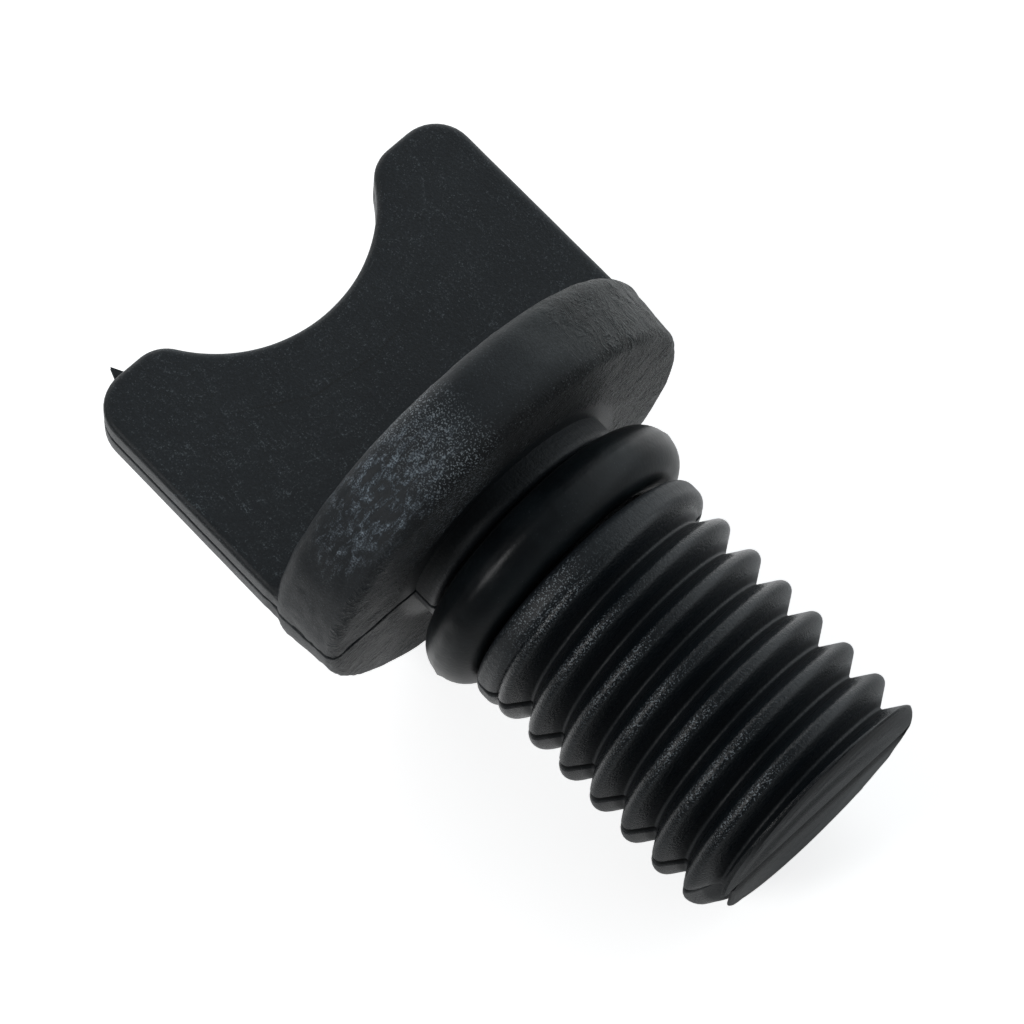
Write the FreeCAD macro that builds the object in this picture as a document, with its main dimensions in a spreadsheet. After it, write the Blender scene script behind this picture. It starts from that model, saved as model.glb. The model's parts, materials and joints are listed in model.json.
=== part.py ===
import FreeCAD, Part
import math
import os
import re

import Sketcher
from FreeCAD import Placement, Rotation, Vector

# Plastic radiator bleed screw with its sealing ring, lying as it comes to rest.
# Each piece is drawn in the screw's own axes: Z along the shank with the wing upwards,
# X across the wing, zero at the flange face that carries the wing. Millimetres.
SIZES = {
    # thumb wing
    "wingWidth": (16.6, "side edge to side edge"),
    "wingHeight": (9.3, "flange face to the flat lands on the horns"),
    "wingThickness": (2.05, "plate thickness"),
    "wingEdgeBevel": (0.2, "bevel round both faces"),
    "wingRoot": (1.2, "how far the plate runs down inside the flange"),
    "notchRadius": (5.6, "radius of the thumb notch"),
    "notchDepth": (3.1, "lands to the bottom of the notch"),
    "hornOuterRadius": (1.5, "outer corner of a horn"),
    "hornInnerRadius": (1.4, "where a land turns into the notch"),
    # flange
    "flangeDiameter": (16.8, "at the wing side"),
    "flangeUnderDiameter": (16.45, "at the shank side, narrower by the draft"),
    "flangeThickness": (3.1, "face to face"),
    "flangeTopRadius": (0.75, "rim rounding on the wing side"),
    "flangeUnderBevel": (0.35, "bevel on the flange's rim, thread side"),
    # shank between flange and thread
    "collarDiameter": (8.7, "plain collar under the flange"),
    "collarLength": (0.95, "flange to groove"),
    "grooveDiameter": (6.7, "bottom of the ring's groove"),
    "ribDiameter": (10.1, "rib below the groove"),
    "ribWidth": (1.1, "groove to the start of the thread"),
    "shoulderBevel": (0.3, "bevel on the edges of collar and rib"),
    # thread
    "threadDiameter": (10.0, "over the crests"),
    "threadPitch": (1.5, "coarse pitch of this diameter"),
    "threadDepth": (0.8, "crest to root"),
    "crestRadius": (0.28, "moulded round on the crest"),
    "flankAngle": (60.0, "degrees between the two flanks"),
    "ridgeFoot": (0.08, "how far the ridge runs into the core"),
    "threadLength": (10.35, "rib to the end face"),
    "threadLead": (2.63, "end face to the ridge's first section, which is cut away"),
    "tipDiameter": (8.5, "across the flat end face"),
    "tipAngle": (31.0, "degrees between the end face and the bevel round it"),
    # sealing ring
    "ringSection": (2.3, "diameter of the ring's round section"),
    "ringSideGap": (0.15, "free room in the groove at each side of the ring"),
    "ringSeat": (0.01, "ring to the bottom of the groove"),
}

# depths below the wing side of the flange, as formulas of the sizes
collarTop = "flangeThickness"
grooveTop = f"{collarTop} + collarLength"
ribTop = f"{grooveTop} + ringSection + 2 * ringSideGap"
threadTop = f"{ribTop} + ribWidth"
endFace = f"{threadTop} + threadLength"
coreRadius = "threadDiameter / 2 - threadDepth"

rimSteps = 3  # bevels that stand for the round on the flange's rim
ringSides = 16  # flats that stand for the round of the ring's section
meshFineness = 0.02  # how closely points follow the solids where the resting place is found
slopeSteps = 30  # halvings of the slope's range in the search for that place
closeness = 1e-4  # an edge this near to a height or face counts as lying on it


def make_sheet(doc):
    """Writes every size into a cell of its own."""
    sheet = doc.addObject("Spreadsheet::Sheet", "sizes")
    for row, (alias, (value, note)) in enumerate(SIZES.items(), start=1):
        sheet.set(f"A{row}", alias)
        sheet.set(f"B{row}", str(value))
        sheet.setAlias(f"B{row}", alias)
        sheet.set(f"C{row}", note)
    doc.recompute()


def bound(formula):
    """The formula as another object has to write it, with the sheet before each size."""
    def with_sheet(word):
        return f"sizes.{word[0]}" if word[0] in SIZES else word[0]

    return re.sub(r"[A-Za-z]+", with_sheet, formula)


def size(doc, formula):
    """The number that the formula gives."""
    return float(doc.sizes.evalExpression(bound(formula)))


def new_body(doc, name):
    body = doc.addObject("PartDesign::Body", name)
    body.Label = name
    return body


def new_sketch(body, name):
    """A sketch on the body's own upright plane, in which X is across and Y is up."""
    sketch = body.newObject("Sketcher::SketchObject", name)
    plane = next(item for item in body.Origin.OriginFeatures if item.Role == "XZ_Plane")
    sketch.AttachmentSupport = [(plane, "")]
    sketch.MapMode = "FlatFace"
    return sketch


def constrain(sketch, *arguments):
    return sketch.addConstraint(Sketcher.Constraint(*arguments))


def drive(doc, sketch, formula, kind, *elements):
    """Adds a dimension and binds it to the formula."""
    index = constrain(sketch, kind, *elements, size(doc, formula))
    sketch.setExpression(f"Constraints[{index}]", bound(formula))


def place_point(doc, sketch, element, end, across, up):
    """Ties a point of an element to its two formulas, measured from the sketch's origin."""
    for kind, formula, axis in (("DistanceX", across, -2), ("DistanceY", up, -1)):
        if formula == "0":
            constrain(sketch, "PointOnObject", element, end, axis)
        else:
            drive(doc, sketch, formula, kind, -1, 1, element, end)


def round_corner(doc, sketch, corner, neighbours, radius, lines):
    """Shortens two lines to an arc that touches both, and keeps their sharp corner."""
    place, across, up = corner
    back, ahead = [Vector(point - place).normalize() for point in neighbours]
    half = back.getAngle(ahead) / 2
    value = size(doc, radius)
    reach = value / math.tan(half)
    inward = Vector(back + ahead).normalize()
    middle = place + inward * (value / math.sin(half) - value)
    arc = sketch.addGeometry(Part.Arc(place + back * reach, middle, place + ahead * reach), False)
    near = 1 if sketch.getPoint(arc, 1).isEqual(place + back * reach, closeness) else 2
    sharp = sketch.addGeometry(Part.Point(place), True)
    place_point(doc, sketch, sharp, 1, across, up)
    arriving, leaving = lines
    constrain(sketch, "PointOnObject", sharp, 1, arriving)
    constrain(sketch, "PointOnObject", sharp, 1, leaving)
    constrain(sketch, "Tangent", arriving, 2, arc, near)
    constrain(sketch, "Tangent", leaving, 1, arc, 3 - near)
    drive(doc, sketch, radius, "Radius", arc)


def outline(doc, sketch, corners):
    """Draws a closed outline through corners given as (across, up) or (across, up, rounding)."""
    places = [Vector(size(doc, corner[0]), size(doc, corner[1]), 0) for corner in corners]
    count = len(corners)
    reaches = []
    for index, corner in enumerate(corners):
        back = places[index - 1] - places[index]
        ahead = places[(index + 1) % count] - places[index]
        half = back.getAngle(ahead) / 2
        reaches.append(size(doc, corner[2]) / math.tan(half) if len(corner) > 2 else 0.0)
    lines = []
    for index, place in enumerate(places):
        along = places[(index + 1) % count] - place
        ahead = Vector(along).normalize()
        start = place + ahead * reaches[index]
        finish = place + along - ahead * reaches[(index + 1) % count]
        lines.append(sketch.addGeometry(Part.LineSegment(start, finish), False))
    for index, corner in enumerate(corners):
        pair = lines[index - 1], lines[index]
        if len(corner) > 2:
            neighbours = places[index - 1], places[(index + 1) % count]
            sharp = places[index], corner[0], corner[1]
            round_corner(doc, sketch, sharp, neighbours, corner[2], pair)
        else:
            constrain(sketch, "Coincident", pair[0], 2, pair[1], 1)
            place_point(doc, sketch, pair[1], 1, corner[0], corner[1])


def around(across, up, radius, degrees, sides):
    """Corners on a circle from its outermost point onwards, without the last one."""
    angles = [degrees * step / sides for step in range(sides)]
    return [
        (f"{across} + {radius} * cos({angle} deg)", f"{up} + {radius} * sin({angle} deg)")
        for angle in angles
    ]


def turn(body, kind, name, sketch):
    """A full turn of the sketch about the shank's axis, added or cut."""
    feature = body.newObject(f"PartDesign::{kind}", name)
    feature.Profile = sketch
    feature.ReferenceAxis = (sketch, ["V_Axis"])
    feature.Angle = 360


def soften(doc, body, kind, name, base, edges, amount):
    """Edges rounded by a Fillet or bevelled by a Chamfer."""
    feature = body.newObject(f"PartDesign::{kind}", name)
    feature.Base = (base, edges)
    feature.setExpression("Radius" if kind == "Fillet" else "Size", bound(amount))
    doc.recompute()
    return feature


def edge_names(shape, wanted):
    return [f"Edge{number}" for number, edge in enumerate(shape.Edges, start=1) if wanted(edge)]


def thumb_wing(doc, body):
    """Flat plate with two horns and a round thumb notch, bevelled round both faces."""
    sketch = new_sketch(body, "wing_outline")
    outline(doc, sketch, [
        ("wingWidth / 2", "-wingRoot"),
        ("wingWidth / 2", "wingHeight", "hornOuterRadius"),
        ("-wingWidth / 2", "wingHeight", "hornOuterRadius"),
        ("-wingWidth / 2", "-wingRoot"),
    ])
    plate = body.newObject("PartDesign::Pad", "wing_plate")
    plate.Profile = sketch
    plate.SideType = "Symmetric"
    plate.setExpression("Length", bound("wingThickness"))

    circle = new_sketch(body, "notch_circle")
    height = "wingHeight - notchDepth + notchRadius"
    centre = Vector(0, size(doc, height), 0)
    circle.addGeometry(Part.Circle(centre, Vector(0, 0, 1), size(doc, "notchRadius")), False)
    place_point(doc, circle, 0, 3, "0", height)
    drive(doc, circle, "notchRadius", "Radius", 0)
    notch = body.newObject("PartDesign::Pocket", "thumb_notch")
    notch.Profile = circle
    notch.Type = "ThroughAll"
    notch.SideType = "Symmetric"
    doc.recompute()

    land = size(doc, "wingHeight")
    reach = size(doc, "wingWidth / 2 - hornOuterRadius / 2")

    def at_notch_mouth(edge):
        box = edge.BoundBox
        return box.ZMin > land - closeness and box.XLength < closeness and abs(box.XMin) < reach

    mouth = edge_names(notch.Shape, at_notch_mouth)
    horns = soften(doc, body, "Fillet", "horn_rounds", notch, mouth[:2], "hornInnerRadius")
    half_thickness = size(doc, "wingThickness / 2")
    root = -size(doc, "wingRoot")

    def borders_a_face(edge):
        box = edge.BoundBox
        on_face = box.YLength < closeness and abs(abs(box.YMin) - half_thickness) < closeness
        return on_face and box.ZMax > root + closeness

    rims = edge_names(horns.Shape, borders_a_face)
    soften(doc, body, "Chamfer", "wing_edges", horns, rims, "wingEdgeBevel")


def turned_core(doc, body):
    """Flange, collar, ring groove, rib and thread core."""
    sketch = new_sketch(body, "core_profile")
    rim = around("flangeDiameter / 2 - flangeTopRadius", "-flangeTopRadius", "flangeTopRadius", 90, rimSteps)
    outline(doc, sketch, [
        ("0", "0"),
        ("0", f"-({endFace})"),
        (coreRadius, f"-({endFace})"),
        (coreRadius, f"-({threadTop})"),
        ("ribDiameter / 2 - shoulderBevel", f"-({threadTop})"),
        ("ribDiameter / 2", f"-({threadTop} - shoulderBevel)"),
        ("ribDiameter / 2", f"-({ribTop} + shoulderBevel)"),
        ("ribDiameter / 2 - shoulderBevel", f"-({ribTop})"),
        ("grooveDiameter / 2", f"-({ribTop})"),
        ("grooveDiameter / 2", f"-({grooveTop})"),
        ("collarDiameter / 2 - shoulderBevel", f"-({grooveTop})"),
        ("collarDiameter / 2", f"-({grooveTop} - shoulderBevel)"),
        ("collarDiameter / 2", f"-({collarTop})"),
        ("flangeUnderDiameter / 2 - flangeUnderBevel", f"-({collarTop})"),
        ("flangeUnderDiameter / 2", f"-({collarTop} - flangeUnderBevel)"),
        *rim,
        ("flangeDiameter / 2 - flangeTopRadius", "0"),
    ])
    turn(body, "Revolution", "core", sketch)


def thread_ridge(doc, body):
    """One rounded ridge wound right-handed from below the end face up into the rib."""
    sketch = new_sketch(body, "ridge_profile")
    foot = f"{coreRadius} - ridgeFoot"
    middle = f"-({endFace} + threadLead)"
    # the crest's round is drawn as a flat and two bevels that touch it at equal turns
    turned = "(90 deg - flankAngle * 0.5 deg) / 4"
    round_centre = "threadDiameter / 2 - crestRadius"
    half_flat = f"crestRadius * tan({turned})"
    bevel_foot = f"{round_centre} + crestRadius * cos(3 * {turned}) / cos({turned})"
    half_bevel = f"crestRadius * sin(3 * {turned}) / cos({turned})"
    sharp_tip = f"{round_centre} + crestRadius / sin(flankAngle * 0.5 deg)"
    half_foot = f"({sharp_tip} - ({foot})) * tan(flankAngle * 0.5 deg)"
    outline(doc, sketch, [
        (foot, f"{middle} + {half_foot}"),
        (foot, f"{middle} - {half_foot}"),
        (bevel_foot, f"{middle} - {half_bevel}"),
        ("threadDiameter / 2", f"{middle} - {half_flat}"),
        ("threadDiameter / 2", f"{middle} + {half_flat}"),
        (bevel_foot, f"{middle} + {half_bevel}"),
    ])
    ridge = body.newObject("PartDesign::AdditiveHelix", "thread_ridge")
    ridge.Profile = sketch
    ridge.ReferenceAxis = (sketch, ["V_Axis"])
    ridge.Mode = "pitch-height-angle"
    ridge.setExpression("Pitch", bound("threadPitch"))
    ridge.setExpression("Height", bound("threadLead + threadLength + ribWidth / 2"))


def tip_cut(doc, body):
    """Cuts off what lies below the end face and bevels the first turn of the thread."""
    sketch = new_sketch(body, "tip_profile")
    outside = "tipDiameter / 2 + threadDiameter / 2"
    rise = "threadDiameter / 2 * tan(tipAngle * 1 deg)"
    below = f"-({endFace} + 2 * threadLead)"
    outline(doc, sketch, [
        ("0", f"-({endFace})"),
        ("tipDiameter / 2", f"-({endFace})"),
        (outside, f"-({endFace} - {rise})"),
        (outside, below),
        ("0", below),
    ])
    turn(body, "Groove", "tip_cut", sketch)


def screw_body(doc):
    """Wing, flange, shank and thread, moulded in one piece."""
    body = new_body(doc, "screw_body")
    thumb_wing(doc, body)
    turned_core(doc, body)
    thread_ridge(doc, body)
    tip_cut(doc, body)
    doc.recompute()
    return body


def sealing_ring(doc):
    """Round-section ring stretched over the groove, with its middle in the groove's."""
    body = new_body(doc, "sealing_ring")
    sketch = new_sketch(body, "ring_section")
    across = "grooveDiameter / 2 + ringSeat + ringSection / 2"
    up = f"-({grooveTop} + ringSideGap + ringSection / 2)"
    outline(doc, sketch, around(across, up, "ringSection / 2", 360, ringSides))
    turn(body, "Revolution", "ring", sketch)
    doc.recompute()
    return body


def resting_placement(doc, bodies):
    """Lays the screw down with its plate level and its shank along +X.

    It rests on the rim of the flange and on the last crests, so the shank dips until both
    touch the floor. The lowest point then has zero height, under the middle of the whole.
    """
    flange_end = -size(doc, collarTop)
    points = [point for body in bodies for point in body.Shape.tessellate(meshFineness)[0]]
    head = [point for point in points if point.z >= flange_end]
    shank = [point for point in points if point.z < flange_end]

    def depth(point, slope):
        return point.y * math.cos(slope) - point.z * math.sin(slope)

    low, high = 0.0, math.pi / 4
    for _ in range(slopeSteps):
        slope = (low + high) / 2
        if max(depth(point, slope) for point in shank) < max(depth(point, slope) for point in head):
            low = slope
        else:
            high = slope
    across = Vector(0, 1, 0)
    down = Vector(-math.sin(slope), 0, -math.cos(slope))
    back = Vector(-math.cos(slope), 0, math.sin(slope))
    laid = Placement(Vector(0, 0, 0), Rotation(across, down, back, "ZXY"))
    corners = FreeCAD.BoundBox()
    for point in points:
        corners.add(laid.multVec(point))
    laid.Base = Vector(-corners.Center.x, -corners.Center.y, -corners.ZMin)
    return laid


def main():
    doc = FreeCAD.newDocument("bleed_screw")
    make_sheet(doc)
    bodies = [screw_body(doc), sealing_ring(doc)]
    laid = resting_placement(doc, bodies)
    for body in bodies:
        body.Placement = laid
    doc.recompute()
    for item in doc.Objects:
        if {"Invalid", "Error"} & set(item.State):
            raise RuntimeError(f"{item.Name} failed: {item.State}")
    for body in bodies:
        if body.Shape.isNull() or not body.Shape.isValid() or len(body.Shape.Solids) != 1:
            raise RuntimeError(f"{body.Label} is not one valid solid")
        print(body.Label, round(body.Shape.Volume, 2), "mm3")
    os.makedirs("parts", exist_ok=True)
    for body in bodies:
        body.Shape.exportStep(f"parts/{body.Label}.step")


main()
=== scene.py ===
import json
import math

import bmesh
import bpy
from mathutils import Matrix, Vector, noise


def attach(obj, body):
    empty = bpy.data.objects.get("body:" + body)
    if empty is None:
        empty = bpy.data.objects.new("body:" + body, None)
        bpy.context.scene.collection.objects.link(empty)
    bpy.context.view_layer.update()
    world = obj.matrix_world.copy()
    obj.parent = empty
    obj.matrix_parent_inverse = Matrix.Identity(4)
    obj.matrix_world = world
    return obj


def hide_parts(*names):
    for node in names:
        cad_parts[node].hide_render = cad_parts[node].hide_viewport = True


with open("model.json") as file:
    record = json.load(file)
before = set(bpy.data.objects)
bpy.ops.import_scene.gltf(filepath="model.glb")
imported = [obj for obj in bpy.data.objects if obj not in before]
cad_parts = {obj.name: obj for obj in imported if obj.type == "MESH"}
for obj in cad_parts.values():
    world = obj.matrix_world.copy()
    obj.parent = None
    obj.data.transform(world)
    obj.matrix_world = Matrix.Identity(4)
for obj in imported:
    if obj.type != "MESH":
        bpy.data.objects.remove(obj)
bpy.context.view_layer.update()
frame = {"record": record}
mm = 0.001
same = 1e-5  # vertices nearer to each other than this are one
print("packed model loaded")

# Pieces are drawn in the screw's own axes, in millimetres: Z along the shank with the wing
# upwards, X across the wing, Y away from the camera, zero at the flange's wing side.

wing = {
    "width": 16.6, "height": 9.3, "thickness": 2.05, "root": 1.2,
    "notchRadius": 5.6, "notchDepth": 3.1, "hornOuter": 1.5, "hornInner": 1.4,
    "edge": 0.25, "edgeSteps": 4, "arcSteps": 10, "notchSteps": 48,
    "grid": 0.2,  # spacing of the cuts that give the faces their vertices
    "sliver": ((-7.0, 8.9), (-6.58, 9.98), (-6.02, 8.9)),  # corners across and up
    "sliverThickness": 0.14,
}
flange = {
    "diameter": 16.8, "underDiameter": 16.45, "thickness": 3.1,
    "topRound": 0.75, "underRound": 0.42, "roundSteps": 7,
    "spinSteps": 380, "spacing": 0.14, "faceSpacing": 0.3,
}
shank = {
    "collarDiameter": 8.7, "collarLength": 0.95, "grooveDiameter": 6.7,
    "ribDiameter": 10.1, "ribWidth": 1.1, "ribRound": 0.42,
    "shoulder": 0.25, "shoulderSteps": 4, "spacing": 0.14,
}
thread = {
    "diameter": 10.0, "pitch": 1.5, "depth": 0.8, "length": 10.35, "flank": 60.0,
    "crestRound": 0.3, "rootRound": 0.1, "crestSteps": 7, "rootSteps": 3, "flankSteps": 4,
    "turnSteps": 120, "tipDiameter": 8.4, "tipRound": 0.6, "tipSpare": 0.01,
    "lead": 2.63,  # how far the helix starts beyond the end face
}
ring = {
    "section": 2.3, "seat": 0.01, "sideGap": 0.15, "sectionSteps": 44, "spinSteps": 220,
    "tilt": 1.2, "waves": 0.01, "waveScale": 0.9,
    # the seam's height, its mean and swing as shares of that, the least share, and how fine it is
    "seamLift": 0.05, "seamMean": 0.6, "seamSwing": 0.8, "seamLeast": 0.15, "seamScale": 2.3,
}

collarTop = flange["thickness"]
grooveTop = collarTop + shank["collarLength"]
ribTop = grooveTop + ring["section"] + 2 * ring["sideGap"]
threadTop = ribTop + shank["ribWidth"]
endFace = threadTop + thread["length"]

# the record says where the rib's middle lies and which way the shank points
rib = next(mount for mount in frame["record"]["mounts"] if mount["name"] == "guide_rib")
ownUp = -Vector(rib["axis"]).normalized()
ownAcross = Vector((0, 1, 0))
ownBack = ownUp.cross(ownAcross)
ribMiddle = -(ribTop + threadTop) / 2 * mm
layDown = Matrix((ownAcross, ownBack, ownUp)).transposed().to_4x4()
layDown.translation = Vector(rib["pos_m"]) - ownUp * ribMiddle


class Pen:
    # draws a chain of edges in the XZ plane
    def __init__(self, bm, across, up):
        self.bm = bm
        self.tip = bm.verts.new((across, 0, up))

    def line(self, across, up, spacing=None):
        way = Vector((across, 0, up)) - self.tip.co
        steps = max(1, round(way.length / spacing)) if spacing else 1
        for _ in range(steps):
            self.tip = bmesh.ops.extrude_vert_indiv(self.bm, verts=[self.tip])["verts"][0]
            bmesh.ops.translate(self.bm, verts=[self.tip], vec=way / steps)

    def arc(self, across, up, degrees, steps):
        made = bmesh.ops.spin(
            self.bm, geom=[self.tip], cent=(across, 0, up), axis=(0, -1, 0),
            angle=math.radians(degrees), steps=steps, use_merge=False, use_duplicate=False)
        self.tip = next(item for item in made["geom_last"] if isinstance(item, bmesh.types.BMVert))


def newPiece(name, bm):
    mesh = bpy.data.meshes.new(name)
    bm.to_mesh(mesh)
    bm.free()
    piece = bpy.data.objects.new(name, mesh)
    bpy.context.scene.collection.objects.link(piece)
    return piece


def spunShell(bm, steps):
    # turns the drawn profile into a closed shell round Z
    bmesh.ops.spin(
        bm, geom=bm.verts[:] + bm.edges[:], cent=(0, 0, 0), axis=(0, 0, 1),
        angle=math.tau, steps=steps, use_merge=True, use_duplicate=False)
    bmesh.ops.remove_doubles(bm, verts=bm.verts[:], dist=same)
    bmesh.ops.recalc_face_normals(bm, faces=bm.faces[:])


def cutAcross(bm, geom, place, way):
    return bmesh.ops.bisect_plane(bm, geom=geom, dist=1e-4, plane_co=place, plane_no=way)["geom"]


def wingShell():
    bm = bmesh.new()
    half, top = wing["width"] / 2, wing["height"]
    outer, inner, steps = wing["hornOuter"], wing["hornInner"], wing["arcSteps"]
    notchUp = top - wing["notchDepth"] + wing["notchRadius"]
    innerUp = top - inner
    innerAcross = math.sqrt((wing["notchRadius"] + inner) ** 2 - (notchUp - innerUp) ** 2)
    turned = math.degrees(math.atan2(notchUp - innerUp, -innerAcross)) - 90
    pen = Pen(bm, half, -wing["root"])
    pen.line(half, top - outer)
    pen.arc(half - outer, top - outer, 90, steps)
    pen.line(innerAcross, top)
    pen.arc(innerAcross, innerUp, turned, steps)
    pen.arc(0, notchUp, -2 * turned, wing["notchSteps"])
    pen.arc(-innerAcross, innerUp, turned, steps)
    pen.line(outer - half, top)
    pen.arc(outer - half, top - outer, 90, steps)
    pen.line(-half, -wing["root"])
    pen.line(half, -wing["root"])
    bmesh.ops.remove_doubles(bm, verts=bm.verts[:], dist=same)
    bmesh.ops.contextual_create(bm, geom=bm.edges[:])
    bmesh.ops.translate(bm, verts=bm.verts[:], vec=(0, -wing["thickness"] / 2, 0))
    pulled = bmesh.ops.extrude_face_region(bm, geom=bm.faces[:])["geom"]
    pulled = [item for item in pulled if isinstance(item, bmesh.types.BMVert)]
    bmesh.ops.translate(bm, verts=pulled, vec=(0, wing["thickness"], 0))
    bmesh.ops.recalc_face_normals(bm, faces=bm.faces[:])
    rims = [
        edge for edge in bm.edges
        if abs(edge.verts[0].co.y - edge.verts[1].co.y) < same
        and max(vert.co.z for vert in edge.verts) > -wing["root"] + 1e-3
    ]
    bmesh.ops.bevel(
        bm, geom=rims, affect="EDGES", offset=wing["edge"], offset_type="OFFSET",
        segments=wing["edgeSteps"], profile=0.5, material=-1)
    cuts = [((1, 0, 0), -half, half), ((0, 0, 1), -wing["root"], top)]
    for way, low, high in cuts:
        count = round((high - low) / wing["grid"])
        for step in range(1, count):
            place = Vector(way) * (low + (high - low) * step / count)
            cutAcross(bm, bm.verts[:] + bm.edges[:] + bm.faces[:], place, way)
    return newPiece("wing", bm)


def flashSliver():
    # a thin tooth of flash that stands on the parting line of the left horn
    bm = bmesh.new()
    thickness = wing["sliverThickness"]
    corners = [bm.verts.new((across, -thickness / 2, up)) for across, up in wing["sliver"]]
    face = bm.faces.new(corners)
    pulled = bmesh.ops.extrude_face_region(bm, geom=[face])["geom"]
    pulled = [item for item in pulled if isinstance(item, bmesh.types.BMVert)]
    bmesh.ops.translate(bm, verts=pulled, vec=(0, thickness, 0))
    bmesh.ops.recalc_face_normals(bm, faces=bm.faces[:])
    return newPiece("sliver", bm)


def turnedShell():
    bm = bmesh.new()
    radius, under = flange["diameter"] / 2, flange["underDiameter"] / 2
    topRound, underRound, steps = flange["topRound"], flange["underRound"], flange["roundSteps"]
    collar, rim = shank["collarDiameter"] / 2, shank["ribDiameter"] / 2
    soft, full = shank["shoulder"], shank["ribRound"]
    groove, fine = shank["grooveDiameter"] / 2, shank["spacing"]
    pen = Pen(bm, 0, 0)
    pen.line(radius - topRound, 0, flange["faceSpacing"])
    pen.arc(radius - topRound, -topRound, -90, steps)
    pen.line(under, -collarTop + underRound, flange["spacing"])
    pen.arc(under - underRound, -collarTop + underRound, -90, steps)
    pen.line(collar, -collarTop, flange["faceSpacing"])
    pen.line(collar, -grooveTop + soft, fine)
    pen.arc(collar - soft, -grooveTop + soft, -90, shank["shoulderSteps"])
    pen.line(groove, -grooveTop)
    pen.line(groove, -ribTop)
    pen.line(rim - full, -ribTop)
    pen.arc(rim - full, -ribTop - full, -90, steps)
    pen.line(rim, -threadTop + full, fine)
    pen.arc(rim - full, -threadTop + full, -90, steps)
    pen.line(0, -threadTop)
    spunShell(bm, flange["spinSteps"])
    return newPiece("turned", bm)


def threadShell():
    bm = bmesh.new()
    outer, pitch = thread["diameter"] / 2, thread["pitch"]
    half = math.radians(thread["flank"] / 2)
    crest, root = thread["crestRound"], thread["rootRound"]
    crestUp = -(endFace + thread["lead"] - pitch)  # height of the first crest
    crestCentre = outer - crest
    rootCentre = outer - thread["depth"] + root
    sweep = 90 - thread["flank"] / 2
    # half a pitch from crest to root: where each arc meets the straight flank
    onCrest = Vector((crestCentre + crest * math.sin(half), crest * math.cos(half)))
    onRoot = Vector((rootCentre - root * math.sin(half), pitch / 2 - root * math.cos(half)))
    flankLength = (onCrest - onRoot).length
    pen = Pen(bm, outer - thread["depth"], crestUp - pitch / 2)
    pen.arc(rootCentre, crestUp - pitch / 2, -sweep, thread["rootSteps"])
    pen.line(onCrest.x, crestUp - onCrest.y, flankLength / thread["flankSteps"])
    pen.arc(crestCentre, crestUp, 2 * sweep, thread["crestSteps"])
    pen.line(onRoot.x, crestUp + onRoot.y, flankLength / thread["flankSteps"])
    pen.arc(rootCentre, crestUp + pitch / 2, -sweep, thread["rootSteps"])
    turns = math.ceil((thread["length"] + thread["lead"]) / pitch)
    steps = thread["turnSteps"] * turns
    bmesh.ops.spin(
        bm, geom=bm.verts[:] + bm.edges[:], cent=(0, 0, 0), axis=(0, 0, 1),
        dvec=(0, 0, pitch / thread["turnSteps"]), angle=math.tau * turns, steps=steps,
        use_merge=False, use_duplicate=False)
    bmesh.ops.remove_doubles(bm, verts=bm.verts[:], dist=1e-4)
    ends = (-endFace, -1), (-threadTop + shank["ribWidth"] / 2, 1)
    for up, way in ends:
        bmesh.ops.bisect_plane(
            bm, geom=bm.verts[:] + bm.edges[:] + bm.faces[:], dist=same,
            plane_co=(0, 0, up), plane_no=(0, 0, way), clear_outer=True)
    # the tip's round: nothing stands further out than a quarter of an ellipse
    tip, rise = thread["tipDiameter"] / 2, thread["tipRound"]
    for vert in bm.verts:
        share = min((vert.co.z + endFace) / rise, 1)
        reach = tip + (outer + thread["tipSpare"] - tip) * math.sqrt(max(0, 1 - (1 - share) ** 2))
        across = vert.co.xy.length
        if across > reach:
            vert.co.xy *= reach / across
    bmesh.ops.holes_fill(bm, edges=[edge for edge in bm.edges if edge.is_boundary], sides=0)
    bmesh.ops.recalc_face_normals(bm, faces=bm.faces[:])
    return newPiece("thread", bm)


def united(first, *others):
    for other in others:
        union = first.modifiers.new("union", "BOOLEAN")
        union.operation = "UNION"
        union.solver = "EXACT"
        union.object = other
    shape = bpy.data.meshes.new_from_object(
        first.evaluated_get(bpy.context.evaluated_depsgraph_get()))
    for item in (first, *others):
        bpy.data.objects.remove(item)
    return shape


def smoothstep(low, high, value):
    share = min(max((value - low) / (high - low), 0), 1)
    return share * share * (3 - 2 * share)


skin = {
    # depths of the folds, the wide dents and the small pits of the flange, and of waves all over
    "folds": 0.03, "dents": 0.03, "pits": 0.008, "waves": 0.006,
    # how fine each is per millimetre, and how far dents and pits lie inwards
    "dentScale": 0.9, "pitScale": 3.1, "waveScale": 0.8, "dentsIn": 0.35, "pitsIn": 0.5,
    "dentPlace": (3, 1, 4),
    # folds: how fine they are round the flange, across it and up it, how much they bend, how wide
    "foldScales": (3.2, 2.2, 2.4), "bendScale": 0.7, "bend": 1.5, "foldWidth": 0.22,
    # where the flange's skin begins and ends: height from below, height from above, radius
    "foot": (-3.3, -3.05), "head": (-0.05, 0.1), "inner": (4.6, 5.4),
    "ends": (4.2, 7.0),  # across: folds only near the ends of the parting line
}


def folded(place):
    # folds of the flange's skin, which run round it
    around, outwards, upwards = skin["foldScales"]
    bent = noise.noise(place * skin["bendScale"]) * skin["bend"]
    crease = abs(noise.noise(Vector((
        math.atan2(place.y, place.x) * around, place.xy.length * outwards + bent,
        place.z * upwards))))
    return smoothstep(0.0, skin["foldWidth"], crease) - 1


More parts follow.
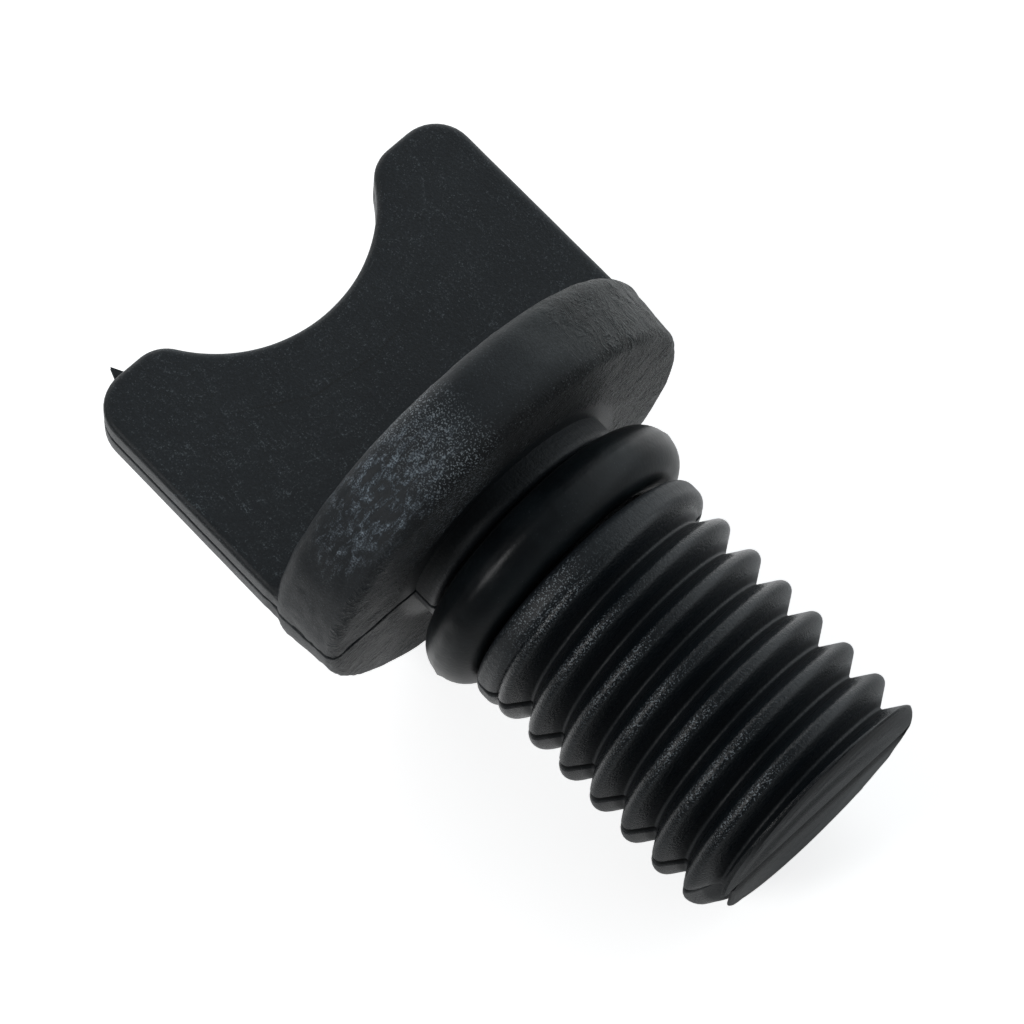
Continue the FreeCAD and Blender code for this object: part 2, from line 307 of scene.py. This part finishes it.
def finishBody(bm):
    # the moulded skin: folds and dents on the flange, slight waves everywhere
    bm.normal_update()
    normals = [vert.normal.copy() for vert in bm.verts]
    dentPlace = Vector(skin["dentPlace"])
    for vert, normal in zip(bm.verts, normals):
        place = vert.co.copy()
        lift = skin["waves"] * noise.noise(place * skin["waveScale"])
        onFlange = smoothstep(*skin["foot"], place.z) * (1 - smoothstep(*skin["head"], place.z))
        onFlange *= smoothstep(*skin["inner"], place.xy.length)
        nearEnds = smoothstep(*skin["ends"], abs(place.x))
        dents = noise.noise(place * skin["dentScale"] + dentPlace) - skin["dentsIn"]
        pits = noise.noise(place * skin["pitScale"]) - skin["pitsIn"]
        lift += skin["folds"] * onFlange * nearEnds * folded(place)
        lift += skin["dents"] * onFlange * dents
        lift += skin["pits"] * onFlange * pits
        vert.co += normal * lift


parting = {
    "width": 0.045, "depth": 0.035, "shift": (-0.03, 0.0, -0.03), "shiftCore": 4,
    "threadWidth": 0.1, "threadDepth": 0.15,  # the same groove at the thread's left ends
    "threadFoot": (-7.6, -7.2), "left": (-1.0, 1.0), "rim": ((-3.3, -3.1), (0.0, 0.1)),
    # the thread's left end stands back: how far and over what width in the near and far half
    "tipGaps": ((0.55, 0.5), (0.85, 1.6)), "tipUp": (0.5, 1.3), "tipAcross": (2.6, 4.0),
    # the end face: the far half's step, the groove with its reach in each half, rows of cuts
    "endStep": 0.05, "endUp": 0.5, "endGroove": 0.26, "nearReach": 0.5, "farReach": 0.4,
    "endRows": 12, "endSpacing": 0.11,
}


def bell(place, reach):
    return math.exp(-(place / reach) ** 2)


def partingLine(bm):
    # the mould halves meet at y = 0: a fine groove there, and the far half sits a hair off
    width, wide = parting["width"], parting["threadWidth"]
    for place in (-2 * wide, -wide, -width, 0, width, wide, 2 * wide):
        bmesh.ops.bisect_plane(
            bm, geom=bm.verts[:] + bm.edges[:] + bm.faces[:], dist=2e-4,
            plane_co=(0, place, 0), plane_no=(0, 1, 0))
    endLimit = -endFace + 1e-3
    cap = [face for face in bm.faces if all(vert.co.z < endLimit for vert in face.verts)]
    cap = cap + list({edge for face in cap for edge in face.edges})
    rows, spacing = parting["endRows"], parting["endSpacing"]
    for step in range(-rows, rows + 1):
        cap = cutAcross(bm, cap, (0, step * spacing + spacing / 2, 0), (0, 1, 0))
    bm.normal_update()
    shift = Vector(parting["shift"])
    rimFoot, rimHead = parting["rim"]
    for vert in bm.verts:
        place = vert.co.copy()
        fromEnd = place.z + endFace
        nearEnd = 1 - smoothstep(0.0, parting["endUp"], fromEnd)
        onThread = 1 - smoothstep(*parting["threadFoot"], place.z)
        onLeft = 1 - smoothstep(*parting["left"], place.x)
        # neither groove nor shift on the right of the flange's rim
        plain = smoothstep(*rimFoot, place.z) * (1 - smoothstep(*rimHead, place.z))
        marked = 1 - (1 - onLeft) * plain
        reach = width + (wide - width) * onThread * onLeft
        deeper = (parting["threadDepth"] - parting["depth"]) * onThread * onLeft
        nearTip = 1 - smoothstep(*parting["tipUp"], fromEnd)
        nearTip *= smoothstep(*parting["tipAcross"], -place.x)
        gap, gapReach = parting["tipGaps"][place.y > 0]
        vert.co.x += gap * nearTip * bell(place.y, gapReach)
        if place.z > endLimit:
            vert.co -= vert.normal * (parting["depth"] + deeper) * marked * bell(place.y, reach)
        if place.y > width - 1e-3:
            outside = smoothstep(0, parting["shiftCore"], place.xy.length)
            vert.co += shift * outside * (1 - nearEnd) * marked
            vert.co.z += parting["endStep"] * nearEnd
        if place.z < endLimit:
            reach = parting["nearReach"] if place.y < 0 else parting["farReach"]
            vert.co.z += parting["endGroove"] * bell(place.y, reach)


def screwBody():
    shape = united(turnedShell(), wingShell(), threadShell(), flashSliver())
    bm = bmesh.new()
    bm.from_mesh(shape)
    bmesh.ops.remove_doubles(bm, verts=bm.verts[:], dist=1e-4)
    openEdges = sum(not edge.is_manifold for edge in bm.edges)
    print("union:", len(bm.faces), "faces,", openEdges, "open edges")
    partingLine(bm)
    finishBody(bm)
    bmesh.ops.triangulate(bm, faces=[face for face in bm.faces if len(face.verts) > 4])
    bm.transform(layDown @ Matrix.Scale(mm, 4))
    return newPiece("screwBodySkin", bm)


def sealingRing():
    bm = bmesh.new()
    radius = ring["section"] / 2
    middle = shank["grooveDiameter"] / 2 + ring["seat"] + radius
    up = -(grooveTop + ring["sideGap"] + radius)
    pen = Pen(bm, middle + radius, 0)
    pen.arc(middle, 0, 360, ring["sectionSteps"])
    bmesh.ops.remove_doubles(bm, verts=bm.verts[:], dist=same)
    spunShell(bm, ring["spinSteps"])
    for vert in bm.verts:
        across = vert.co.xy.length
        vert.co.z += ring["waves"] * noise.noise(vert.co * ring["waveScale"])
        if across > middle + radius - 1e-3:
            # the ragged seam of the ring's own mould
            swing = ring["seamSwing"] * noise.noise(vert.co * ring["seamScale"])
            ragged = max(ring["seamMean"] + swing, ring["seamLeast"])
            vert.co.xy *= 1 + ring["seamLift"] * ragged / across
    tilted = Matrix.Rotation(math.radians(-ring["tilt"]), 4, "Y")
    bm.transform(Matrix.Translation((0, 0, up)) @ tilted)
    bm.transform(layDown @ Matrix.Scale(mm, 4))
    return newPiece("sealingRingSkin", bm)


class Socket:
    # a node's output that takes part in sums
    def __init__(self, shader, link):
        self.shader = shader
        self.link = link

    def math(self, operation, *values):
        return self.shader.node("Math", {"operation": operation}, *values)

    def __add__(self, other): return self.math("ADD", self, other)
    def __radd__(self, other): return self.math("ADD", other, self)
    def __sub__(self, other): return self.math("SUBTRACT", self, other)
    def __rsub__(self, other): return self.math("SUBTRACT", other, self)
    def __mul__(self, other): return self.math("MULTIPLY", self, other)
    def __abs__(self): return self.math("ABSOLUTE", self)

    def ramp(self, low, high):  # 0 below low, 1 above high, smooth between
        return self.shader.node(
            "MapRange", {"interpolation_type": "SMOOTHSTEP"}, Value=self, FromMin=low, FromMax=high)


class Shader:
    # one material and the means to add nodes to it
    def __init__(self, name):
        self.material = bpy.data.materials.new(name)
        self.material.use_nodes = True
        self.tree = self.material.node_tree
        self.tree.nodes.clear()

    def node(self, kind, settings, *values, output=0, **named):
        made = self.tree.nodes.new("ShaderNode" + kind)
        for key, value in settings.items():
            setattr(made, key, value)
        inputs = dict(enumerate(values))
        inputs.update(named)
        for key, value in inputs.items():
            if isinstance(key, int):
                target = made.inputs[key]
            else:
                target = next(
                    item for item in made.inputs
                    if item.enabled and item.name.replace(" ", "") == key)
            if isinstance(value, Socket):
                self.tree.links.new(value.link, target)
            elif value is not None:
                target.default_value = value
        if not made.outputs:
            return made
        outlets = [item for item in made.outputs if item.enabled]
        if isinstance(output, str):
            return Socket(self, next(item for item in outlets if item.name == output))
        return Socket(self, outlets[output])

    def colour(self, share, first, second):
        return self.node("Mix", {"data_type": "RGBA"}, Factor=share, A=first, B=second)

    def ownAxes(self):
        # object coordinates turned to the screw's own axes, in millimetres
        back = (layDown @ Matrix.Scale(mm, 4)).inverted()
        place = self.node("TexCoord", {}, output="Object")
        return self.node(
            "Mapping", {"vector_type": "POINT"}, Vector=place, Location=back.to_translation(),
            Rotation=back.to_euler(), Scale=back.to_scale())

    def stretched(self, place, scale):
        return self.node("Mapping", {"vector_type": "POINT"}, Vector=place, Scale=scale)

    def noise(self, place, scale, detail=2.0, roughness=0.5, distortion=0.0):
        return self.node(
            "TexNoise", {}, Vector=place, Scale=scale, Detail=detail,
            Roughness=roughness, Distortion=distortion)

    def bump(self, height, strength, distance, normal=None):
        return self.node(
            "Bump", {}, Strength=strength, Distance=distance * mm, Height=height, Normal=normal)

    def close(self, surface):
        self.node("OutputMaterial", {}, Surface=surface)
        return self.material


plastic = {
    # heights and radii where one part of the body gives way to the next
    "wingFoot": (0.02, 0.2), "rimFoot": (-3.4, -3.1),
    "rimInner": (4.8, 5.4), "threadFoot": (-7.9, -7.0), "rootWall": (4.3, 4.6),
    "crestWall": (4.85, 4.98), "leftCrest": (4.88, 5.0),
    # the flow line's radius about the notch's centre and the swing of its distance from it
    "lineRadius": 7.93, "lineSwing": 0.5,
    # the patch of painted highlight and glints: its middle across and up, and how fast it ends each
    # way
    "patchPlace": (-4.4, -1.5), "patchFall": (0.16, 0.55),
    "cloudDark": (0.007, 0.011, 0.015, 1), "cloudLight": (0.012, 0.017, 0.0215, 1),
    "rightRim": (0.021, 0.026, 0.0265, 1), "crack": (0.001, 0.0015, 0.002, 1),
    "grain": (0.002, 0.0035, 0.005, 1), "thread": (0.003, 0.005, 0.007, 1),
    "speck": (0.09, 0.107, 0.12, 1), "streak": (0.08, 0.095, 0.105, 1),
    "line": (0.002, 0.003, 0.004, 1), "rimSpeck": (0.07, 0.085, 0.095, 1),
    "patch": (0.022, 0.027, 0.033, 1), "glint": (0.5, 0.6, 0.7, 1),
    "crestDot": (0.13, 0.15, 0.165, 1), "leftCrestDot": (0.3, 0.34, 0.37, 1),
    "crumpledDot": (0.12, 0.135, 0.14, 1),
}


def mouldedPlastic():
    s = Shader("mouldedPlastic")
    own = s.ownAxes()
    x = s.node("SeparateXYZ", {}, own, output="X")
    y = s.node("SeparateXYZ", {}, own, output="Y")
    z = s.node("SeparateXYZ", {}, own, output="Z")
    across = s.node("Math", {"operation": "SQRT"}, x * x + y * y)
    onWing = z.ramp(*plastic["wingFoot"])
    onRim = z.ramp(*plastic["rimFoot"]) * (1 - onWing) * across.ramp(*plastic["rimInner"])
    onShank = 1 - z.ramp(*plastic["rimFoot"])
    onThread = 1 - z.ramp(*plastic["threadFoot"])

    cloudy = s.noise(own, 0.4, 4.0, 0.6)
    patchy = s.noise(own, 0.9, 4.0, 0.65)
    grain = s.noise(own, 11.0, 3.0, 0.65)
    dots = s.noise(own, 17.0, 1.5, 0.6)
    brushed = s.noise(s.stretched(own, (5.0, 5.0, 0.8)), 1.6, 3.0, 0.6)
    # light specks: sparse on the wing, in streaks beside it; painted glints thick in one patch of
    # the flange
    sparse = dots.ramp(0.6, 0.74) * patchy.ramp(0.3, 0.55)
    lowLeft = (1 - x.ramp(-4.5, 0.5)) * (1 - z.ramp(4.5, 7.0))
    streaks = brushed.ramp(0.5, 0.66) * dots.ramp(0.42, 0.66) * patchy.ramp(0.42, 0.6)
    streaks = streaks * (0.35 + lowLeft * 0.65)
    patchX, patchZ = x - plastic["patchPlace"][0], z - plastic["patchPlace"][1]
    fallX, fallZ = plastic["patchFall"]
    patchAway = patchX * patchX * fallX + patchZ * patchZ * fallZ
    patch = (1 - patchAway.ramp(0.1, 1.7)) * onRim * (1 - y.ramp(-1.0, 0.0))
    dashes = s.noise(s.stretched(own, (1.0, 1.0, 2.2)), 1.9, 5.0, 0.7, 0.4)
    glints = dashes.ramp(0.46, 0.66) * (0.12 + dots.ramp(0.42, 0.64) * 0.88)

    # the flow line: an arc round the notch, fine and dark, with faint streaks beside it
    notchUp = wing["height"] - wing["notchDepth"] + wing["notchRadius"]
    bowed = s.node("Math", {"operation": "SQRT"}, x * x + (z - notchUp) * (z - notchUp))
    offset = bowed - plastic["lineRadius"]
    offset = offset + (s.noise(own, 0.5, 1.0) - 0.5) * plastic["lineSwing"]
    onLine = onWing * x.ramp(-5.4, -3.6) * (1 - x.ramp(1.6, 3.2)) * patchy.ramp(0.25, 0.5)
    combed = s.node("CombineXYZ", {}, bowed * 5.0, (x - z) * 0.6)
    arcs = s.noise(combed, 1.2, 3.0, 0.6).ramp(0.54, 0.68)
    arcs = arcs * dots.ramp(0.42, 0.62) * cloudy.ramp(0.45, 0.6)
    line = (1 - abs(offset).ramp(0.02, 0.06)) * onLine
    besideLine = (1 - abs(offset + 0.3).ramp(0.05, 0.5)) * onLine

    dark = s.colour(cloudy.ramp(0.3, 0.7), plastic["cloudDark"], plastic["cloudLight"])
    # painted reflection: the flange's rim is lighter towards its right end, which faces the bright
    # +Y side
    dark = s.colour(onRim * x.ramp(0.5, 5.0), dark, plastic["rightRim"])
    # painted shade on the lower part of the flange's side, over its middle
    shadedLowRim = onRim * (1 - z.ramp(-3.1, -1.9)) * x.ramp(-6.0, -3.5) * (1 - x.ramp(2.0, 4.5))
    dark = s.colour(shadedLowRim * 0.85, dark, plastic["crack"])
    dark = s.colour(grain.ramp(0.3, 0.7) * 0.65, dark, plastic["grain"])
    # painted shade: the thread is made darker all over, for the shade between its turns
    dark = s.colour(onThread * 0.6, dark, plastic["thread"])
    colour = s.colour((sparse + streaks + arcs * 0.5) * onWing * 0.7, dark, plastic["speck"])
    colour = s.colour(streaks * besideLine * 0.6, colour, plastic["streak"])
    colour = s.colour(line * 0.7, colour, plastic["line"])
    colour = s.colour(sparse * onRim * 0.6, colour, plastic["rimSpeck"])
    # painted highlight: the flange's patch is lighter, with bright painted glints in it
    colour = s.colour(patch * 0.5, colour, plastic["patch"])
    colour = s.colour(glints * patch, colour, plastic["glint"])

    # painted highlight: light specks on the crests, brightest where the thread's left side faces
    # the camera
    onCrests = across.ramp(*plastic["crestWall"]) * (1 - x.ramp(-2.0, 2.0) * 0.8)
    paintedCrestGlints = dots.ramp(0.56, 0.68) * onCrests
    colour = s.colour(paintedCrestGlints * onShank * 0.4, colour, plastic["crestDot"])
    # painted highlight: brighter specks on the near crests and rib on the left, where their
    # highlight falls
    onLeftCrests = across.ramp(*plastic["leftCrest"]) * (1 - y.ramp(-1.0, 0.0))
    onLeftCrests = onLeftCrests * x.ramp(-4.3, -3.2) * (1 - x.ramp(-2.0, -0.4))
    colour = s.colour(dots.ramp(0.55, 0.66) * onLeftCrests * 0.8, colour, plastic["leftCrestDot"])

    # painted shade in the gap between the mould halves, down the thread's left side and over the
    # end face
    crack = (1 - abs(y).ramp(0.05, 0.15)) * onThread * (1 - x.ramp(-2.0, 0.0))
    colour = s.colour(crack * 0.9, colour, plastic["crack"])
    onEnd = 1 - z.ramp(-endFace + 0.05, -endFace + 0.4)
    # painted shade in a wide band over the end face's groove and step
    endGrooveShade = onEnd * (1 - abs(y - 0.1).ramp(0.2, 1.3))
    colour = s.colour(endGrooveShade * 0.9, colour, plastic["crack"])

    # crumpled skin at the flange's right end and along its lower edge, with painted shade in its
    # creases
    atRight = x.ramp(2.6, 5.2) * (1 - y.ramp(2.0, 4.0))
    crumpled = onRim * atRight + onRim * (1 - z.ramp(-3.0, -2.6)) * 0.8
    crumpled = crumpled * (0.35 + patchy.ramp(0.4, 0.6) * 0.65)
    wrinkles = s.noise(s.stretched(own, (1.0, 1.0, 0.7)), 1.4, 5.0, 0.64, 0.9)
    wrinkles = abs(wrinkles - 0.5) * 2.0
    # painted shade in the creases of the crumpled skin
    colour = s.colour((1 - wrinkles.ramp(0.0, 0.12)) * crumpled * 0.8, colour, plastic["line"])
    colour = s.colour(dots.ramp(0.58, 0.7) * crumpled * 0.8, colour, plastic["crumpledDot"])

    inRoot = onThread * (1 - across.ramp(*plastic["rootWall"])) * (1 - onEnd)
    roughness = 0.38 + cloudy * 0.1 + grain * 0.18 - onThread * 0.3 + onRim * 0.06
    roughness = roughness + shadedLowRim * 0.3 + onEnd * 0.2 + inRoot * 0.25 + crack * 0.5
    roughness = roughness - glints * patch * 0.2
    ripples = s.noise(s.stretched(own, (2.6, 2.6, 0.5)), 2.0, 2.0, 0.55)
    height = grain * (0.6 + onThread * 0.6 + onEnd * 0.6) + dots * 0.3
    height = height + wrinkles.ramp(0.0, 0.3) * crumpled * 5.0 + glints * patch * 2.4
    height = height + ripples * (onShank - onThread) * 0.8 + brushed * onWing * 0.25
    # the soft edge of the end face, with the fine relief on top of it
    rounded = s.bump(across.ramp(2.4, 4.3) * onEnd * -1.0, 1.0, 0.6)
    normal = s.bump(height, 0.8, 0.03, rounded)
    surface = s.node(
        "BsdfPrincipled", {}, BaseColor=colour, Roughness=roughness, Normal=normal)
    return s.close(surface)


rubber = {
    "cloudDark": (0.003, 0.0045, 0.006, 1), "cloudLight": (0.006, 0.009, 0.011, 1),
    "speck": (0.06, 0.07, 0.08, 1), "roughness": 0.28, "specular": 0.3,
}


def glossyRubber():
    s = Shader("glossyRubber")
    own = s.ownAxes()
    cloudy = s.noise(own, 0.6, 3.0, 0.6)
    grain = s.noise(own, 7.0, 2.0, 0.5)
    dots = s.noise(own, 17.0, 1.5, 0.6).ramp(0.66, 0.75)
    colour = s.colour(cloudy.ramp(0.35, 0.65), rubber["cloudDark"], rubber["cloudLight"])
    colour = s.colour(dots * cloudy.ramp(0.45, 0.6) * 0.5, colour, rubber["speck"])
    surface = s.node(
        "BsdfPrincipled", {}, BaseColor=colour, Roughness=rubber["roughness"] + cloudy * 0.2,
        Normal=s.bump(grain, 0.3, 0.02), SpecularIORLevel=rubber["specular"])
    return s.close(surface)


stage = {
    # strength of the floor's own light: to the camera, to other rays, and what far +Y adds to that
    "floorSize": 3.0, "floorGlow": 0.74, "floorSheen": 0.8, "farSheen": 0.1,
    # metres over which what the floor throws back rises along Y, or falls along X
    "fadeLeft": (-0.045, -0.012), "fadeTip": (0.0, 0.03), "fadeWing": (-0.004, 0.006),
    "fadeRight": (0.015, 0.04),
    "tipFall": 0.45, "wingFall": 0.9,  # the shares lost along X
    "floorLeast": 0.25, "floorColour": (0.86, 0.86, 0.86, 1), "unlit": (0.0, 0.0, 0.0, 1),
    "worldColour": (0.91, 0.97, 1.0, 1),
    # strength at the horizon and overhead, what the +Y side adds, the share left on the -Y side
    "skyLow": 0.29, "skyHigh": 0.15, "skySide": 1.0, "skyLeft": 0.35,
    # where those change, as the sine of the height and as shares of the way to -Y and +Y
    "skyRise": (0.1, 0.8), "leftEnds": (-0.7, -0.1), "sideEnds": (0.1, 1),
    # azimuth, elevation, distance, width, height in metres, watts
    "lamps": {
        "keyLamp": (-97, 42, 0.30, 0.06, 0.13, 0.2),
        "wingLamp": (176, 30, 0.30, 0.24, 0.10, 0.16),
    },
}
shot = {
    "place": (0.063224, -0.042349, 0.145296), "forward": (-0.41042, 0.2688, -0.87138),
    "up": (-0.60511, 0.63459, 0.48077), "fov": 12.7216, "nearest": 0.01, "farthest": 10,
}


def paleFloor():
    # white to the camera; to other rays a painted pool of light: what it throws back at the piece
    # fades towards -Y and +X
    s = Shader("paleFloor")
    seen = s.node("LightPath", {}, output="Is Camera Ray")
    place = s.node("TexCoord", {}, output="Object")
    x = s.node("SeparateXYZ", {}, place, output="X")
    y = s.node("SeparateXYZ", {}, place, output="Y")
    share = y.ramp(*stage["fadeLeft"]) * (1 - x.ramp(*stage["fadeTip"]) * stage["tipFall"])
    least = stage["floorLeast"]
    pale = s.node("Math", {"operation": "MAXIMUM"}, seen, share * (1 - least) + least)
    matt = s.node("BsdfDiffuse", {}, s.colour(pale, stage["unlit"], stage["floorColour"]))
    # painted sheen: the floor glows to rays other than the camera's, most on the wing's side, with
    # a little more far to +Y
    sheen = share * (1 - x.ramp(*stage["fadeWing"]) * stage["wingFall"]) * stage["floorSheen"]
    sheen = sheen + y.ramp(*stage["fadeRight"]) * stage["farSheen"]
    glow = s.node("Emission", {}, (1, 1, 1, 1), seen * stage["floorGlow"] + (1 - seen) * sheen)
    return s.close(s.node("AddShader", {}, matt, glow))


def skyFade(nodes, low, high, least, most):
    fade = nodes.new("ShaderNodeMapRange")
    fade.interpolation_type = "SMOOTHSTEP"
    for name, value in (("From Min", low), ("From Max", high), ("To Min", least), ("To Max", most)):
        fade.inputs[name].default_value = value
    return fade


def studioSky():
    # brighter at the horizon than overhead, brightest on the +Y side and weak on the -Y side
    world = bpy.data.worlds.new("studio")
    world.use_nodes = True
    nodes, links = world.node_tree.nodes, world.node_tree.links
    background = nodes["Background"]
    background.inputs["Color"].default_value = stage["worldColour"]
    place = nodes.new("ShaderNodeTexCoord")
    parts = nodes.new("ShaderNodeSeparateXYZ")
    fade = skyFade(nodes, *stage["skyRise"], stage["skyLow"], stage["skyHigh"])
    links.new(place.outputs["Generated"], parts.inputs[0])
    links.new(parts.outputs["Z"], fade.inputs["Value"])
    strength = fade.outputs["Result"]
    for operation, ends, least, most in (
            ("MULTIPLY", stage["leftEnds"], stage["skyLeft"], 1),
            ("ADD", stage["sideEnds"], 0, stage["skySide"])):
        side = skyFade(nodes, *ends, least, most)
        both = nodes.new("ShaderNodeMath")
        both.operation = operation
        links.new(parts.outputs["Y"], side.inputs["Value"])
        links.new(strength, both.inputs[0])
        links.new(side.outputs["Result"], both.inputs[1])
        strength = both.outputs["Value"]
    links.new(strength, background.inputs["Strength"])
    bpy.context.scene.world = world


def buildStage():
    bm = bmesh.new()
    bmesh.ops.create_grid(bm, x_segments=1, y_segments=1, size=stage["floorSize"])
    floor = newPiece("floor", bm)
    floor.data.materials.append(paleFloor())
    studioSky()
    for name, (azimuth, elevation, distance, width, height, watts) in stage["lamps"].items():
        lamp = bpy.data.lights.new(name, "AREA")
        lamp.shape = "RECTANGLE"
        lamp.size, lamp.size_y, lamp.energy = width, height, watts
        holder = bpy.data.objects.new(name, lamp)
        bpy.context.scene.collection.objects.link(holder)
        turn, rise = math.radians(azimuth), math.radians(elevation)
        flat = distance * math.cos(rise)
        holder.location = (
            flat * math.cos(turn), flat * math.sin(turn), distance * math.sin(rise))
        holder.rotation_euler = (-holder.location).to_track_quat("-Z", "Y").to_euler()


def placeCamera():
    lens = bpy.data.cameras.new("camera")
    lens.sensor_fit = "HORIZONTAL"
    lens.angle = math.radians(shot["fov"])
    lens.clip_start, lens.clip_end = shot["nearest"], shot["farthest"]
    camera = bpy.data.objects.new("camera", lens)
    bpy.context.scene.collection.objects.link(camera)
    forward, up = Vector(shot["forward"]).normalized(), Vector(shot["up"]).normalized()
    turn = Matrix((forward.cross(up), up, -forward)).transposed().to_4x4()
    camera.matrix_world = Matrix.Translation(shot["place"]) @ turn
    bpy.context.scene.camera = camera


def smoothShaded(piece, degrees):
    piece.data.shade_smooth()
    piece.data.set_sharp_from_angle(angle=math.radians(degrees))


body = screwBody()
body.data.materials.append(mouldedPlastic())
smoothShaded(body, 40)
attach(body, "root")
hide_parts("screw_body")
print("screw body made:", len(body.data.polygons), "faces")

seal = sealingRing()
seal.data.materials.append(glossyRubber())
smoothShaded(seal, 60)
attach(seal, "root")
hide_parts("sealing_ring")
print("sealing ring made:", len(seal.data.polygons), "faces")

buildStage()
placeCamera()
bpy.context.scene.view_settings.view_transform = "Standard"
print("stage and camera set")
